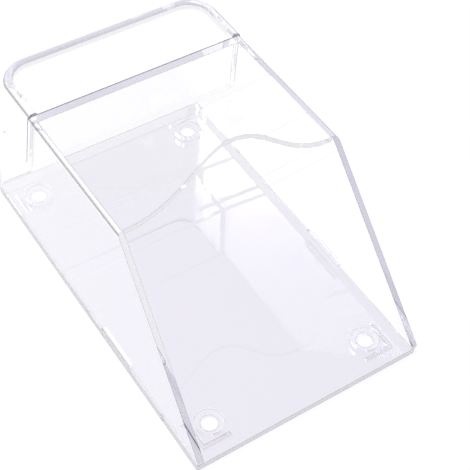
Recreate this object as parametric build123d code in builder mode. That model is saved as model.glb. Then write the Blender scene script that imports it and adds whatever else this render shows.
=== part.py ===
from build123d import *
import os

# Clear rain cover for a doorbell push, lying on its back, in millimetres.
# X runs across. Y runs from the open end to the closed end, which is the top on a wall.
# Z runs out from the wall. The origin is the middle of the back face.

# Overall sizes
cover_width = 80.0
cover_length = 127.5
front_height = 55.3  # back face to the front panel, at the panel's near edge
opening_setback = 48.2  # open end to the near edge of the front panel

# Back plate
plate_thickness = 2.5
plate_corner_radius = 2.4
near_corner_radius = 0.8
screw_hole_radius = 2.7
screw_head_radius = 4.7
screw_head_depth = 1.5
screw_inset = 11.25  # from both edges of the plate
mark_inset = 5.0  # outer corner of each L-shaped groove, from both edges
mark_arm = 10.0
mark_width = 1.0
mark_depth = 0.6

# Hood walls and how they lean
wall_thickness = 2.0  # walls, front panel and the pocket's floor
side_lean = 2.4  # each side leans in by this much at the front panel
end_lean = 2.1
front_fall = 0.8  # the panel drops by this much from its near edge to the pocket
foot_height = 1.6  # upright start of each slanted edge, above the plate
rim_corner_radius = 11.0  # closed end's corners, at the top of the loft
inner_corner_radius = 1.0  # the same corners inside, at the plate
edge_radius = 1.6  # shoulders, where the walls meet the front

# Pocket in the closed end, open to the front
pocket_length = 26.6  # outside, at the rim
pocket_floor = 32.6  # back face to the pocket's floor
pocket_wall_lean = 2.4
rim_rise = 0.8  # the rim stands above the front panel by this much
rim_width = 3.0  # side and end walls of the pocket
rim_chamfer = 0.6  # edge of the rim round the pocket
side_line_width = 0.4  # fine line down each side, in line with the pocket's near wall
side_line_depth = 0.3

# Finger cut-out in the front panel
finger_depth = 14.8
finger_peak_x = 9.1  # to the right of the middle
left_foot_pull, left_peak_pull = 0.44, 0.24  # how flat each end of the left curve runs
right_peak_pull, right_foot_pull = 0.53, 0.66

# Side catches: a tongue on the plate in a notch in the hood
catch_length = 17.2
catch_from_end = 46.9  # open end to the middle of the catch
catch_rise = 1.8  # above the plate's front face
catch_thickness = 1.6
catch_corner = 1.0
fit_clearance = 0.15

# How far shapes run past the part before they are cut, and what counts as touching or facing
reach = 20.0
loft_spare = 2.0
touching = 0.01
forward = 0.9  # least Z of the normal of a face that looks forward

near_end = -cover_length / 2
far_end = cover_length / 2
half_width = cover_width / 2
panel_edge = near_end + opening_setback
pocket_near = far_end - pocket_length
loft_top = front_height + rim_rise + loft_spare
lean_share = (loft_top - plate_thickness) / (front_height - plate_thickness)


def footprint(height, inset, leaning, radius, overrun=0.0):
    """Outline at a height: square at the open end, rounded at the closed end."""
    x = half_width - inset - leaning * side_lean
    y = far_end - inset - leaning * end_lean
    with BuildSketch(Plane.XY.offset(height)) as outline:
        with BuildLine():
            Polyline((-x, near_end - overrun), (x, near_end - overrun), (x, y), (-x, y), close=True)
        make_face()
        fillet(outline.vertices().group_by(Axis.Y)[-1], radius)
    return outline.sketch


def panel_front(y):
    """Height of the front panel's outer face at a place along the cover."""
    slope = front_fall / (pocket_near - panel_edge)
    return front_height - slope * (y - panel_edge)


def hollow(inset, side_outline, overrun=0.0):
    """Space inside the leaning walls, within an outline drawn from the side."""
    with BuildPart() as space:
        loft(
            sections=[
                footprint(plate_thickness, inset, 0, inner_corner_radius, overrun),
                footprint(loft_top, inset, lean_share, rim_corner_radius - inset, overrun),
            ],
            ruled=True,
        )
        with BuildSketch(Plane.YZ):
            with BuildLine():
                Polyline(*side_outline, close=True)
            make_face()
        extrude(amount=half_width, both=True, mode=Mode.INTERSECT)
    return space.part


def foremost_face(part):
    """The forward-looking face that stands furthest out of the front panel's plane."""
    faces = part.faces().filter_by(lambda face: face.normal_at().Z > forward)
    return faces.sort_by(lambda face: face.center().Z - panel_front(face.center().Y))[-1]


def rounded_block(side_outline):
    """Solid within the outer walls and an outline drawn from the side, with rounded shoulders."""
    with BuildPart() as block:
        loft(
            sections=[
                footprint(plate_thickness, 0, 0, plate_corner_radius),
                footprint(loft_top, 0, lean_share, rim_corner_radius),
            ],
            ruled=True,
        )
        with BuildSketch(Plane.YZ):
            with BuildLine():
                Polyline(*side_outline, close=True)
            make_face()
        extrude(amount=half_width, both=True, mode=Mode.INTERSECT)
        fillet(foremost_face(block).edges().sort_by(Axis.Y)[1:], edge_radius)
    return block.part


# Back plate
with BuildPart() as back_plate:
    with BuildSketch():
        Rectangle(cover_width, cover_length)
    extrude(amount=plate_thickness)
    upright = back_plate.edges().filter_by(Axis.Z).group_by(Axis.Y)
    fillet(upright[-1], plate_corner_radius)
    fillet(upright[0], near_corner_radius)
    with Locations((0, 0, plate_thickness)):
        with GridLocations(cover_width - 2 * screw_inset, cover_length - 2 * screw_inset, 2, 2):
            CounterBoreHole(screw_hole_radius, screw_head_radius, screw_head_depth)
    with BuildSketch() as corner_marks:
        with Locations((-half_width + mark_inset, near_end + mark_inset)):
            Rectangle(mark_arm, mark_width, align=(Align.MIN, Align.MIN))
            Rectangle(mark_width, mark_arm, align=(Align.MIN, Align.MIN))
        mirror(about=Plane.YZ)
        mirror(about=Plane.XZ)
    extrude(amount=mark_depth, mode=Mode.SUBTRACT)
    for side in (-1, 1):
        with BuildSketch(Plane.YZ.offset(side * (half_width - fit_clearance))) as tongue:
            with Locations((near_end + catch_from_end, 0)):
                Rectangle(catch_length, plate_thickness + catch_rise, align=(Align.CENTER, Align.MIN))
            fillet(tongue.vertices().group_by(Axis.Y)[-1], catch_corner)
        extrude(amount=-side * catch_thickness)

# Space inside the hood, open at the near end and at the back
chamber_floor = pocket_floor - wall_thickness
chamber = hollow(
    wall_thickness,
    [
        (near_end - reach, plate_thickness),
        (near_end - reach, panel_front(near_end - reach) - wall_thickness),
        (pocket_near - wall_thickness, panel_front(pocket_near) - wall_thickness),
        (pocket_near + pocket_wall_lean - wall_thickness, chamber_floor),
        (far_end, chamber_floor),
        (far_end, plate_thickness),
    ],
    overrun=reach,
)

# Pocket
pocket = hollow(
    rim_width,
    [
        (pocket_near + pocket_wall_lean, pocket_floor),
        (pocket_near, panel_front(pocket_near)),
        (pocket_near, loft_top),
        (far_end, loft_top),
        (far_end, pocket_floor),
    ],
)

# Fine lines down the sides, from the rim to the level of the pocket's floor
line_outline = [
    (pocket_near + pocket_wall_lean, pocket_floor),
    (pocket_near, panel_front(pocket_near)),
    (pocket_near, loft_top),
    (pocket_near + side_line_width, loft_top),
    (pocket_near + side_line_width, panel_front(pocket_near)),
    (pocket_near + side_line_width + pocket_wall_lean, pocket_floor),
]
with BuildPart() as side_lines:
    with BuildSketch(Plane.YZ):
        with BuildLine():
            Polyline(*line_outline, close=True)
        make_face()
    extrude(amount=half_width, both=True)
    add(hollow(side_line_depth, line_outline), mode=Mode.SUBTRACT)

# Hood. Its outside is two blocks: one up to the front panel, and one up to the rim.
panel_end = pocket_near + rim_width
panel_outline = [
    (near_end, plate_thickness),
    (near_end, plate_thickness + foot_height),
    (panel_edge, front_height),
    (panel_end, panel_front(panel_end)),
    (panel_end, plate_thickness),
]
rim_outline = [
    (pocket_near, plate_thickness),
    (pocket_near, panel_front(pocket_near) + rim_rise),
    (far_end, panel_front(far_end) + rim_rise),
    (far_end, plate_thickness),
]
with BuildPart() as hood:
    add(rounded_block(panel_outline))
    add(rounded_block(rim_outline))
    add(chamber, mode=Mode.SUBTRACT)
    add(pocket, mode=Mode.SUBTRACT)
    rim_edges = foremost_face(hood).edges()
    round_pocket = rim_edges.filter_by(lambda edge: pocket.distance_to(edge @ 0.5) < touching)
    chamfer(round_pocket, rim_chamfer)
    add(side_lines.part, mode=Mode.SUBTRACT)
    with BuildSketch(Plane.XY.offset(loft_top)):
        foot_x = half_width - side_lean - wall_thickness
        peak_y = panel_edge + finger_depth
        with BuildLine():
            Bezier(
                (-foot_x, panel_edge),
                (-foot_x + left_foot_pull * (finger_peak_x + foot_x), panel_edge),
                (finger_peak_x - left_peak_pull * (finger_peak_x + foot_x), peak_y),
                (finger_peak_x, peak_y),
            )
            Bezier(
                (finger_peak_x, peak_y),
                (finger_peak_x + right_peak_pull * (foot_x - finger_peak_x), peak_y),
                (foot_x - right_foot_pull * (foot_x - finger_peak_x), panel_edge),
                (foot_x, panel_edge),
            )
            Polyline(
                (foot_x, panel_edge),
                (foot_x, panel_edge - 2 * wall_thickness),
                (-foot_x, panel_edge - 2 * wall_thickness),
                (-foot_x, panel_edge),
            )
        make_face()
    extrude(amount=-(loft_top - panel_front(pocket_near) + 2 * wall_thickness), mode=Mode.SUBTRACT)
    for side in (-1, 1):
        with BuildSketch(Plane.YZ.offset(side * (half_width + wall_thickness))) as notch:
            with Locations((near_end + catch_from_end, 0)):
                Rectangle(
                    catch_length + 2 * fit_clearance,
                    plate_thickness + catch_rise + fit_clearance,
                    align=(Align.CENTER, Align.MIN),
                )
            fillet(notch.vertices().group_by(Axis.Y)[-1], catch_corner)
        extrude(amount=-side * 3 * wall_thickness, mode=Mode.SUBTRACT)

back_plate.part.label = "back_plate"
hood.part.label = "hood"
os.makedirs("parts", exist_ok=True)
export_step(back_plate.part, "parts/back_plate.step")
export_step(hood.part, "parts/hood.step")
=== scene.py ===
import math

import bpy
from bpy.props import FloatProperty, FloatVectorProperty, PointerProperty
from mathutils import Matrix, Vector


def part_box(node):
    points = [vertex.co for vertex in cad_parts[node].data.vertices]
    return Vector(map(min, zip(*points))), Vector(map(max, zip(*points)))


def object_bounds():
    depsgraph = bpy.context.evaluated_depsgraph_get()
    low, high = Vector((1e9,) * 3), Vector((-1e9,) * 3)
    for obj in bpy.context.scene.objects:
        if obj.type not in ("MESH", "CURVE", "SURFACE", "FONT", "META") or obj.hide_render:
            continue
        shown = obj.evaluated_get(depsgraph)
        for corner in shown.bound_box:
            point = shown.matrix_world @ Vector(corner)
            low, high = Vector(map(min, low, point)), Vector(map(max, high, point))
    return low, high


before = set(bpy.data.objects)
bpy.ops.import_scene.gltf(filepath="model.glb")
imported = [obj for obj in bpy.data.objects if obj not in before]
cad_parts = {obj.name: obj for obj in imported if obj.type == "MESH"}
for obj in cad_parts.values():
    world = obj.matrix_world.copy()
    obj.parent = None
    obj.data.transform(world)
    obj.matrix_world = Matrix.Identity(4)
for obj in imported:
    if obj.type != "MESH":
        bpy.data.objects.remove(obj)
CAD_LOW, CAD_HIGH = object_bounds()

bl_info = {
    "name": "Clear Rain Cover",
    "version": (1, 0, 0),
    "blender": (4, 5, 0),
    "location": "View3D > Sidebar > Rain Cover",
    "description": "Finishes a clear plastic rain cover and sets a pale studio round it",
    "category": "Object",
}

SEAT_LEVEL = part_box("hood")[0][2]  # where the hood's foot stands on the plate
SEAT_SPREAD = 0.00002  # how near to that level a place still counts as the foot
FLAT = 0.99  # least upright part of the normal of a face that counts as flat
REFLECTIONS_INSIDE = 2.5  # light that has met more than this many leaves the plastic straight
FLOOR_GAP = 0.0002  # from the cover's back down to the floor
ROOM_GREY = (0.8, 0.8, 0.8, 1.0)  # what lights the cover from all round
ROOM_WHITE = (1.0, 1.0, 1.0, 1.0)  # what the eye sees behind it

# Masks by place on the cover, in metres, which put the painted shade where it goes: dark lines, bands
# and grey cut faces. Two numbers are where a mask starts and where it is full.
# Four are where it starts, where it is full, how far it holds and where it ends.
REAR_Y = (0.020, 0.034)
POCKET_FLOOR_Y = (0.0360, 0.0385)
POCKET_FLOOR_Z = (0.0290, 0.0300, 0.0332, 0.0340)
RIM_Y = (0.0380, 0.0395)
RIM_Z = (0.0525, 0.0535)
STEP = 0.03715  # the low step that the rim makes across the front panel
STEP_Y = (STEP - 0.0005, STEP - 0.0003, STEP, STEP + 0.0002)
STEP_Z = (0.0538, 0.0540)
POCKET_WALL_Y = (0.0385, 0.0400)
POCKET_WALL_Z = (0.0518, 0.0532, 0.0540, 0.0552)
CUT_EDGES_Y = (0.010, 0.005)
PLATE_SIDES_X = (CAD_HIGH[0] - 0.0020, CAD_HIGH[0] - 0.0010)
PLATE_ENDS_Y = (CAD_HIGH[1] - 0.0020, CAD_HIGH[1] - 0.0010)
PLATE_BORDER_X = (CAD_HIGH[0] - 0.0003, CAD_HIGH[0] - 0.0002)
PLATE_BORDER_Y = (CAD_HIGH[1] - 0.0003, CAD_HIGH[1] - 0.0002)

# Masks by the way a face looks, from one part of its normal, for the painted shade on the shoulders,
# the cut faces and the plate's border
SHOULDER_NORMAL_Z = (0.20, 0.35, 0.60, 0.87)
RIGHT_NORMAL_X = (0.2, 0.5)
REARWARD_NORMAL_Y = (-0.3, -0.1)
CUT_EDGES_NORMAL_Y = (-0.35, -0.60)
PLATE_SIDES_NORMAL_Z = (-0.5, -0.3, 0.3, 0.5)
PLATE_FRONT_NORMAL_Z = (0.8, 0.9)
OUTWARD = (0.0, 0.01)  # place times normal, which is over 0 on outer faces and under 0 on inner ones
INWARD = (0.0, -0.01)

EDGE_BEND = (0.98, 0.90)  # likeness of the rounded and the real normal, with no painted edge line and a full one
EDGE_SAMPLES = 8
RIM_SOFTENING = 0.6  # share of its strength that a painted shade line loses on the rim
RIGHT_SHOULDER_SHIFT = 0.2  # how much flatter the right shoulder still counts as shoulder for its painted shade

HAZE_SCALE, HAZE_DETAIL = 60.0, 3.0  # noise that the dull places follow
HAZE_NOISE = (0.45, 0.75)  # its values where the plastic is smoothest and dullest
WAVE_DETAIL = 1.0
SENSOR_WIDTH = 36.0  # in millimetres, as the lens is


class RainCoverPlastic(bpy.types.PropertyGroup):
    """How the clear plastic of both mouldings looks, with the painted shade on its edges and cut faces.
    """

    hood_tint: FloatVectorProperty(
        name="Hood Tint",
        description="Colour that the hood's surface gives to what is seen through it",
        subtype="COLOR",
        size=3,
        min=0.0,
        max=1.0,
        default=(0.998, 0.998, 1.0),
    )
    plate_tint: FloatVectorProperty(
        name="Plate Tint",
        description="The same for the back plate",
        subtype="COLOR",
        size=3,
        min=0.0,
        max=1.0,
        default=(0.93, 0.922, 0.95),
    )
    # Partly the duller finish of the hood's cut faces, partly painted shade: this grey darkens those
    # faces.
    cut_finish_and_shade: FloatVectorProperty(
        name="Cut Tint",
        description="The same for the hood's cut edges, which are less polished",
        subtype="COLOR",
        size=3,
        min=0.0,
        max=1.0,
        default=(0.66, 0.66, 0.70),
    )
    # Painted shade, partly also the sides' duller cut finish: this darker grey on the back plate's
    # outer sides stands in for the shade along the plate's foot.
    plate_side_finish_and_shade: FloatVectorProperty(
        name="Plate Cut Tint",
        description="The same for the back plate's outer sides",
        subtype="COLOR",
        size=3,
        min=0.0,
        max=1.0,
        default=(0.48, 0.48, 0.52),
    )
    depth_tint: FloatVectorProperty(
        name="Depth Tint",
        description="Colour that long paths inside the plastic turn to",
        subtype="COLOR",
        size=3,
        min=0.0,
        max=1.0,
        default=(0.30, 0.29, 0.42),
    )
    depth_density: FloatProperty(
        name="Depth Density",
        description="How fast the depth tint builds up, per metre of plastic",
        min=0.0,
        default=1.0,
    )
    # Painted shade: the dark colour that the edge, step, shoulder, band and border lines blend into the
    # plastic, standing in for the dark refraction that clear plastic shows along its edges. Edge Width
    # is how wide these painted lines reach.
    painted_edge_shade: FloatVectorProperty(
        name="Edge Tint",
        description="Colour of the fine line that each edge shows as",
        subtype="COLOR",
        size=3,
        min=0.0,
        max=1.0,
        default=(0.02, 0.02, 0.025),
    )
    edge_width: FloatProperty(
        name="Edge Width",
        description="How far an edge's line reaches onto each of its two faces",
        subtype="DISTANCE",
        unit="LENGTH",
        min=0.0,
        default=0.0006,
    )
    # Painted shade: each strength below sets how dark one set of the painted edge lines and bands comes
    # out.
    rear_shade_lines: FloatProperty(
        name="Rear Lines",
        description="Strength of the lines on the sharp edges at the hood's rear",
        subtype="FACTOR",
        min=0.0,
        max=1.0,
        default=0.7,
    )
    front_shade_lines: FloatProperty(
        name="Front Lines",
        description="Strength of the lines on the hood's cut edges, against those at its rear",
        subtype="FACTOR",
        min=0.0,
        max=1.0,
        default=0.6,
    )
    step_shade_line: FloatProperty(
        name="Step Line",
        description="Strength of the crisp line where the rim steps up from the front panel",
        subtype="FACTOR",
        min=0.0,
        max=1.0,
        default=0.9,
    )
    pocket_shade_band: FloatProperty(
        name="Pocket Band",
        description="Strength of the soft band along the top of the pocket's walls",
        subtype="FACTOR",
        min=0.0,
        max=1.0,
        default=0.3,
    )
    base_shade_line: FloatProperty(
        name="Base Line",
        description="Strength of the crisp line round the back plate",
        subtype="FACTOR",
        min=0.0,
        max=1.0,
        default=0.7,
    )
    inner_shade_lines: FloatProperty(
        name="Inner Lines",
        description="Strength of the lines at the plate's holes and marks, against its outline",
        subtype="FACTOR",
        min=0.0,
        max=1.0,
        default=0.35,
    )
    shoulder_shade_lines: FloatProperty(
        name="Shoulder Lines",
        description="Strength of the soft lines along the hood's rounded shoulders",
        subtype="FACTOR",
        min=0.0,
        max=1.0,
        default=0.8,
    )
    refraction: FloatProperty(
        name="Refraction",
        description="Index of refraction of the plastic",
        min=1.0,
        max=2.0,
        default=1.49,
    )
    polish: FloatProperty(
        name="Polish",
        description="Roughness of the smoothest places",
        min=0.0,
        max=1.0,
        default=0.0,
    )
    haze: FloatProperty(
        name="Haze",
        description="Roughness added in the dullest places",
        min=0.0,
        max=1.0,
        default=0.03,
    )
    ripple: FloatProperty(
        name="Ripple",
        description="Height of the moulding's faint waves",
        subtype="DISTANCE",
        unit="LENGTH",
        min=0.0,
        default=0.00002,
    )
    ripple_length: FloatProperty(
        name="Ripple Length",
        description="Distance from one wave to the next",
        subtype="DISTANCE",
        unit="LENGTH",
        min=0.001,
        default=0.025,
    )


class RainCoverStage(bpy.types.PropertyGroup):
    """The floor, the lights and the camera."""

    floor_color: FloatVectorProperty(
        name="Floor",
        description="Colour of the floor",
        subtype="COLOR",
        size=3,
        min=0.0,
        max=1.0,
        default=(0.90, 0.90, 0.91),
    )
    floor_width: FloatProperty(
        name="Floor Width",
        description="Side of the square floor",
        subtype="DISTANCE",
        unit="LENGTH",
        min=0.5,
        default=8.0,
    )
    floor_glow: FloatProperty(
        name="Floor Glow",
        description="Share of the floor's colour that the camera sees on top of the lit floor",
        min=0.0,
        max=1.0,
        default=0.355,
    )
    room_light: FloatProperty(
        name="Room Light",
        description="Strength of the even light from all round",
        min=0.0,
        default=0.55,
    )
    key_power: FloatProperty(
        name="Key Power",
        description="Power of the large soft lamp overhead",
        unit="POWER",
        min=0.0,
        default=9.0,
    )
    key_place: FloatVectorProperty(
        name="Key Place",
        description="Where that lamp hangs",
        subtype="XYZ",
        unit="LENGTH",
        size=3,
        default=(-0.5, 0.4, 1.2),
    )
    key_width: FloatProperty(
        name="Key Width",
        description="Side of that lamp, which is square",
        subtype="DISTANCE",
        unit="LENGTH",
        min=0.01,
        default=1.0,
    )
    camera_place: FloatVectorProperty(
        name="Camera Place",
        description="Where the camera stands",
        subtype="XYZ",
        unit="LENGTH",
        size=3,
        default=(-0.1423, -0.2098, 0.3165),
    )
    camera_aim: FloatVectorProperty(
        name="Camera Aim",
        description="Point in the middle of the picture",
        subtype="XYZ",
        unit="LENGTH",
        size=3,
        default=(0.0077, -0.0088, 0.0200),
    )
    camera_roll: FloatProperty(
        name="Camera Roll",
        description="Turn of the camera about its line of sight",
        subtype="ANGLE",
        unit="ROTATION",
        default=math.radians(4.6),
    )
    camera_lens: FloatProperty(
        name="Camera Lens",
        description="Focal length in millimetres, on a sensor 36 mm wide",
        min=1.0,
        default=95.3,
    )


def new_material(name):
    """An empty node material. Gives it, its node tree and its output."""
    material = bpy.data.materials.new(name)
    material.use_nodes = True
    tree = material.node_tree
    tree.nodes.clear()
    return material, tree, tree.nodes.new("ShaderNodeOutputMaterial")


def add_math(tree, operation, first, second):
    """A Math node of two values, each a socket or a number. Gives its output."""
    node = tree.nodes.new("ShaderNodeMath")
    node.operation = operation
    for socket, value in zip(node.inputs, (first, second)):
        if isinstance(value, (int, float)):
            socket.default_value = value
        else:
            tree.links.new(value, socket)
    return node.outputs["Value"]


def multiply(tree, first, *others):
    """The product of several values."""
    for other in others:
        first = add_math(tree, "MULTIPLY", first, other)
    return first


def largest(tree, first, *others):
    """The largest of several values."""
    for other in others:
        first = add_math(tree, "MAXIMUM", first, other)
    return first


def less_than_one(tree, value):
    """What a value leaves of one."""
    return add_math(tree, "SUBTRACT", 1.0, value)


def add_ramp(tree, value, start, end, low=0.0, high=1.0, shape="SMOOTHSTEP"):
    """A change from low to high while a value goes from start to end. Gives its output."""
    ramp = tree.nodes.new("ShaderNodeMapRange")
    ramp.interpolation_type = shape
    for name, number in (("From Min", start), ("From Max", end), ("To Min", low), ("To Max", high)):
        ramp.inputs[name].default_value = number
    tree.links.new(value, ramp.inputs["Value"])
    return ramp.outputs["Result"]


def add_window(tree, value, start, full, hold, end):
    """One between two values, with a soft rise before them and a soft fall after."""
    return multiply(tree, add_ramp(tree, value, start, full), add_ramp(tree, value, end, hold))


def add_blend(tree, factor, second, first):
    """A colour that goes over to the second. The first is a socket or a colour."""
    blend = tree.nodes.new("ShaderNodeMix")
    blend.data_type = "RGBA"
    if isinstance(first, bpy.types.NodeSocket):
        tree.links.new(first, blend.inputs["A"])
    else:
        blend.inputs["A"].default_value = (*first, 1.0)
    blend.inputs["B"].default_value = (*second, 1.0)
    tree.links.new(factor, blend.inputs["Factor"])
    return blend.outputs["Result"]


def add_shader_mix(tree, factor, first, second):
    """A shader that goes over to the second. Gives its output."""
    mix = tree.nodes.new("ShaderNodeMixShader")
    tree.links.new(factor, mix.inputs["Fac"])
    tree.links.new(first, mix.inputs[1])
    tree.links.new(second, mix.inputs[2])
    return mix.outputs["Shader"]


def add_noise(tree, place, scale, detail):
    """A noise over the cover. Gives its output."""
    noise = tree.nodes.new("ShaderNodeTexNoise")
    noise.inputs["Scale"].default_value = scale
    noise.inputs["Detail"].default_value = detail
    tree.links.new(place, noise.inputs["Vector"])
    return noise.outputs["Fac"]


def split_vector(tree, vector):
    """The three parts of a vector, as a mapping from X, Y and Z to outputs."""
    parts = tree.nodes.new("ShaderNodeSeparateXYZ")
    tree.links.new(vector, parts.inputs["Vector"])
    return parts.outputs


def edge_lines(tree, width):
    """Mask for the painted dark edge lines: one on the sharp edges, falling to nothing a little way
    onto the faces beside them.
    """
    rounded = tree.nodes.new("ShaderNodeBevel")
    rounded.samples = EDGE_SAMPLES
    rounded.inputs["Radius"].default_value = width
    surface = tree.nodes.new("ShaderNodeNewGeometry")
    alike = tree.nodes.new("ShaderNodeVectorMath")
    alike.operation = "DOT_PRODUCT"
    tree.links.new(rounded.outputs["Normal"], alike.inputs[0])
    tree.links.new(surface.outputs["Normal"], alike.inputs[1])
    return add_ramp(tree, alike.outputs["Value"], *EDGE_BEND, shape="LINEAR")


def sharp_lines(tree, place, look):
    """Painted shade lines on the hood's sharp edges: strong at the rear, softer on the cut edges and
    the rim, and none at the pocket's floor. The step across the front panel has one crisp painted line."""
    rear = add_ramp(tree, place["Y"], *REAR_Y)
    ahead = multiply(tree, less_than_one(tree, rear), look.front_shade_lines)
    at_floor = add_window(tree, place["Z"], *POCKET_FLOOR_Z)
    hidden = multiply(tree, at_floor, add_ramp(tree, place["Y"], *POCKET_FLOOR_Y))
    rim = multiply(tree, add_ramp(tree, place["Z"], *RIM_Z), add_ramp(tree, place["Y"], *RIM_Y))
    strength = multiply(
        tree,
        add_math(tree, "ADD", rear, ahead),
        less_than_one(tree, hidden),
        look.rear_shade_lines,
        less_than_one(tree, multiply(tree, rim, RIM_SOFTENING)),
    )
    edges = multiply(tree, edge_lines(tree, look.edge_width), strength)
    step = add_window(tree, place["Y"], *STEP_Y)
    step = multiply(tree, step, add_ramp(tree, place["Z"], *STEP_Z), look.step_shade_line)
    return largest(tree, edges, step)


def find_hood_places(tree, place, look):
    """Where the hood shows painted shade lines, and where its cut edges are. Its rounded shoulders have
    soft painted shade lines, and the pocket's walls a soft painted shade band along their top."""
    surface = tree.nodes.new("ShaderNodeNewGeometry")
    facing = split_vector(tree, surface.outputs["Normal"])
    outside = less_than_one(tree, surface.outputs["Backfacing"])
    out_x = multiply(tree, place["X"], facing["X"])
    out_y = multiply(tree, place["Y"], facing["Y"])
    outward = add_math(tree, "ADD", out_x, out_y)

    turned = multiply(tree, add_ramp(tree, facing["X"], *RIGHT_NORMAL_X), RIGHT_SHOULDER_SHIFT)
    slope = add_math(tree, "SUBTRACT", facing["Z"], turned)
    shoulders = multiply(
        tree,
        add_window(tree, slope, *SHOULDER_NORMAL_Z),
        add_ramp(tree, outward, *OUTWARD),
        add_ramp(tree, facing["Y"], *REARWARD_NORMAL_Y),
        outside,
        look.shoulder_shade_lines,
    )
    band = multiply(
        tree,
        add_window(tree, place["Z"], *POCKET_WALL_Z),
        add_ramp(tree, outward, *INWARD),
        add_ramp(tree, place["Y"], *POCKET_WALL_Y),
        outside,
        look.pocket_shade_band,
    )
    # The cut faces' grey: partly their duller finish, partly painted shade.
    cut = multiply(
        tree,
        add_ramp(tree, facing["Y"], *CUT_EDGES_NORMAL_Y),
        add_ramp(tree, place["Y"], *CUT_EDGES_Y),
        outside,
    )
    return largest(tree, sharp_lines(tree, place, look), shoulders, band), cut


def find_plate_places(tree, place, look):
    """Where the plate shows painted shade lines, and where its cut edges are. The lines are full round
    its outline, and soft at its holes and marks. Its front has one crisp painted line along the border."""
    across = add_math(tree, "ABSOLUTE", place["X"], 0.0)
    along = add_math(tree, "ABSOLUTE", place["Y"], 0.0)
    sides, ends = add_ramp(tree, across, *PLATE_SIDES_X), add_ramp(tree, along, *PLATE_ENDS_Y)
    outline = largest(tree, sides, ends)
    inner = multiply(tree, less_than_one(tree, outline), look.inner_shade_lines)
    strength = add_math(tree, "ADD", outline, inner)

    surface = tree.nodes.new("ShaderNodeNewGeometry")
    facing = split_vector(tree, surface.outputs["Normal"])
    outside = less_than_one(tree, surface.outputs["Backfacing"])
    upright = add_window(tree, facing["Z"], *PLATE_SIDES_NORMAL_Z)
    # The outer sides' darker grey: painted shade, partly also their duller cut finish.
    cut = multiply(tree, outline, upright, outside)

    sides, ends = add_ramp(tree, across, *PLATE_BORDER_X), add_ramp(tree, along, *PLATE_BORDER_Y)
    front = add_ramp(tree, facing["Z"], *PLATE_FRONT_NORMAL_Z)
    border = multiply(tree, largest(tree, sides, ends), front, look.base_shade_line)
    edges = multiply(tree, edge_lines(tree, look.edge_width), strength)
    return largest(tree, edges, border), cut


def seated_face(tree, place):
    """One on the foot that the hood stands on, where light runs on into the plate."""
    surface = tree.nodes.new("ShaderNodeNewGeometry")
    facing = split_vector(tree, surface.outputs["True Normal"])
    flat = add_math(tree, "GREATER_THAN", add_math(tree, "ABSOLUTE", facing["Z"], 0.0), FLAT)
    low = add_math(tree, "LESS_THAN", place["Z"], SEAT_LEVEL + SEAT_SPREAD)
    high = add_math(tree, "GREATER_THAN", place["Z"], SEAT_LEVEL - SEAT_SPREAD)
    return multiply(tree, flat, low, high)


def straight_light(tree, place):
    """One for light that runs straight on: light for other surfaces, light at the hood's foot, and
    light that leaves a wall after several reflections inside it."""
    path = tree.nodes.new("ShaderNodeLightPath").outputs
    surface = tree.nodes.new("ShaderNodeNewGeometry")
    guided = add_math(tree, "GREATER_THAN", path["Glossy Depth"], REFLECTIONS_INSIDE)
    guided = multiply(tree, guided, surface.outputs["Backfacing"])
    return largest(
        tree, path["Is Shadow Ray"], path["Is Diffuse Ray"], guided, seated_face(tree, place)
    )


def clear_plastic(name, tint, cut_finish_and_shade, find_places, look):
    """Moulded clear plastic: glass for the eye, and tinted but straight for lamp light."""
    material, tree, output = new_material(name)
    place = tree.nodes.new("ShaderNodeTexCoord").outputs["Object"]
    spot = split_vector(tree, place)

    glass = tree.nodes.new("ShaderNodeBsdfPrincipled")
    # Painted shade: the lines mask darkens the glass colour toward the edge shade, and the cut mask
    # toward the cut grey, which is partly duller finish.
    lines, cut = find_places(tree, spot, look)
    color = add_blend(tree, lines, look.painted_edge_shade, add_blend(tree, cut, cut_finish_and_shade, tint))
    tree.links.new(color, glass.inputs["Base Color"])
    glass.inputs["Transmission Weight"].default_value = 1.0
    glass.inputs["IOR"].default_value = look.refraction

    dullness = add_noise(tree, place, HAZE_SCALE, HAZE_DETAIL)
    dullest = look.polish + look.haze
    roughness = add_ramp(tree, dullness, *HAZE_NOISE, look.polish, dullest, shape="LINEAR")
    tree.links.new(roughness, glass.inputs["Roughness"])

    bump = tree.nodes.new("ShaderNodeBump")
    bump.inputs["Distance"].default_value = look.ripple
    waves = add_noise(tree, place, 1.0 / look.ripple_length, WAVE_DETAIL)
    tree.links.new(waves, bump.inputs["Height"])
    tree.links.new(bump.outputs["Normal"], glass.inputs["Normal"])

    straight = tree.nodes.new("ShaderNodeBsdfTransparent")
    straight.inputs["Color"].default_value = (*tint, 1.0)
    passing = straight_light(tree, spot)
    shader = add_shader_mix(tree, passing, glass.outputs["BSDF"], straight.outputs["BSDF"])
    tree.links.new(shader, output.inputs["Surface"])

    depth = tree.nodes.new("ShaderNodeVolumeAbsorption")
    depth.inputs["Color"].default_value = (*look.depth_tint, 1.0)
    depth.inputs["Density"].default_value = look.depth_density
    tree.links.new(depth.outputs["Volume"], output.inputs["Volume"])
    return material


def seen_by_eye(tree):
    """One for rays from the camera, and for those that gloss or glass sends on."""
    path = tree.nodes.new("ShaderNodeLightPath").outputs
    return largest(tree, path["Is Camera Ray"], path["Is Glossy Ray"], path["Is Transmission Ray"])


def finish_node(node, material):
    """Gives one material to every face of a CAD node."""
    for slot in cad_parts[node].material_slots:
        slot.link = "OBJECT"
        slot.material = material


class COVER_OT_finish_hood(bpy.types.Operator):
    """Give the hood its clear plastic"""

    bl_idname = "cover.finish_hood"
    bl_label = "Finish Hood"

    def execute(self, context):
        look = context.scene.rain_cover_plastic
        plastic = clear_plastic(
            "hood_clear_plastic", look.hood_tint, look.cut_finish_and_shade, find_hood_places, look
        )
        finish_node("hood", plastic)
        return {"FINISHED"}


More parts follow.
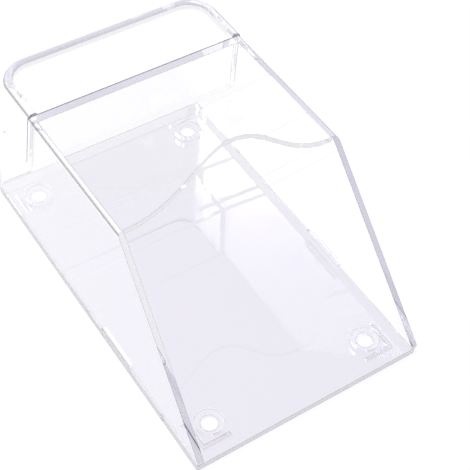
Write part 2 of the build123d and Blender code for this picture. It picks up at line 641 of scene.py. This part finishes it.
class COVER_OT_finish_back_plate(bpy.types.Operator):
    """Give the back plate its clear plastic"""

    bl_idname = "cover.finish_back_plate"
    bl_label = "Finish Back Plate"

    def execute(self, context):
        look = context.scene.rain_cover_plastic
        plastic = clear_plastic(
            "plate_clear_plastic", look.plate_tint, look.plate_side_finish_and_shade, find_plate_places, look
        )
        finish_node("back_plate", plastic)
        return {"FINISHED"}


def build_floor(stage):
    """A wide pale floor, which the camera sees a little brighter than the lamp makes it."""
    half = stage.floor_width / 2
    mesh = bpy.data.meshes.new("floor")
    corners = [(-half, -half, 0), (half, -half, 0), (half, half, 0), (-half, half, 0)]
    mesh.from_pydata(corners, [], [(0, 1, 2, 3)])
    floor = bpy.data.objects.new("floor", mesh)
    bpy.context.scene.collection.objects.link(floor)
    floor.location.z = CAD_LOW[2] - FLOOR_GAP

    material, tree, output = new_material("pale_floor")
    matt = tree.nodes.new("ShaderNodeBsdfDiffuse")
    matt.inputs["Color"].default_value = (*stage.floor_color, 1.0)
    glow = tree.nodes.new("ShaderNodeEmission")
    glow.inputs["Color"].default_value = (*stage.floor_color, 1.0)
    strength = multiply(tree, seen_by_eye(tree), stage.floor_glow)
    tree.links.new(strength, glow.inputs["Strength"])
    both = tree.nodes.new("ShaderNodeAddShader")
    tree.links.new(matt.outputs["BSDF"], both.inputs[0])
    tree.links.new(glow.outputs["Emission"], both.inputs[1])
    tree.links.new(both.outputs["Shader"], output.inputs["Surface"])
    mesh.materials.append(material)


def build_room(stage):
    """White for the eye, and an even grey light for the object."""
    world = bpy.data.worlds.new("studio")
    bpy.context.scene.world = world
    world.use_nodes = True
    tree = world.node_tree
    tree.nodes.clear()
    light = tree.nodes.new("ShaderNodeBackground")
    light.inputs["Color"].default_value = ROOM_GREY
    light.inputs["Strength"].default_value = stage.room_light
    seen = tree.nodes.new("ShaderNodeBackground")
    seen.inputs["Color"].default_value = ROOM_WHITE
    shader = add_shader_mix(
        tree, seen_by_eye(tree), light.outputs["Background"], seen.outputs["Background"]
    )
    output = tree.nodes.new("ShaderNodeOutputWorld")
    tree.links.new(shader, output.inputs["Surface"])


def add_soft_lamp(name, place, width, power):
    """A square lamp that faces the cover."""
    data = bpy.data.lights.new(name, "AREA")
    data.shape = "SQUARE"
    data.size = width
    data.energy = power
    lamp = bpy.data.objects.new(name, data)
    bpy.context.scene.collection.objects.link(lamp)
    lamp.location = place
    lamp.rotation_euler = (-Vector(place)).to_track_quat("-Z", "Y").to_euler()


def build_camera(stage):
    """The camera, from where it stands, what it looks at and its roll."""
    data = bpy.data.cameras.new("camera")
    data.sensor_width = SENSOR_WIDTH
    data.lens = stage.camera_lens
    camera = bpy.data.objects.new("camera", data)
    bpy.context.scene.collection.objects.link(camera)
    place = Vector(stage.camera_place)
    level = (Vector(stage.camera_aim) - place).to_track_quat("-Z", "Y").to_matrix().to_4x4()
    camera.matrix_world = Matrix.Translation(place) @ level @ Matrix.Rotation(stage.camera_roll, 4, "Z")
    bpy.context.scene.camera = camera


class COVER_OT_set_stage(bpy.types.Operator):
    """Build the floor, the room, the lamp and the camera"""

    bl_idname = "cover.set_stage"
    bl_label = "Set Stage"

    def execute(self, context):
        stage = context.scene.rain_cover_stage
        build_floor(stage)
        build_room(stage)
        add_soft_lamp("key_lamp", stage.key_place, stage.key_width, stage.key_power)
        build_camera(stage)
        context.scene.view_settings.view_transform = "Standard"
        return {"FINISHED"}


class VIEW3D_PT_rain_cover(bpy.types.Panel):
    """Lists the steps and the values that they use"""

    bl_label = "Rain Cover"
    bl_idname = "VIEW3D_PT_rain_cover"
    bl_space_type = "VIEW_3D"
    bl_region_type = "UI"
    bl_category = "Rain Cover"

    def draw(self, context):
        groups = (
            (("cover.finish_hood", "cover.finish_back_plate"), context.scene.rain_cover_plastic),
            (("cover.set_stage",), context.scene.rain_cover_stage),
        )
        for steps, values in groups:
            box = self.layout.box()
            for step in steps:
                box.operator(step)
            for name in values.__annotations__:
                box.prop(values, name)


CLASSES = (
    RainCoverPlastic,
    RainCoverStage,
    COVER_OT_finish_hood,
    COVER_OT_finish_back_plate,
    COVER_OT_set_stage,
    VIEW3D_PT_rain_cover,
)


def register():
    for cls in CLASSES:
        bpy.utils.register_class(cls)
    bpy.types.Scene.rain_cover_plastic = PointerProperty(type=RainCoverPlastic)
    bpy.types.Scene.rain_cover_stage = PointerProperty(type=RainCoverStage)


def unregister():
    del bpy.types.Scene.rain_cover_stage
    del bpy.types.Scene.rain_cover_plastic
    for cls in reversed(CLASSES):
        bpy.utils.unregister_class(cls)


def main():
    register()
    bpy.ops.cover.finish_hood()
    bpy.ops.cover.finish_back_plate()
    bpy.ops.cover.set_stage()


if __name__ == "__main__":
    main()
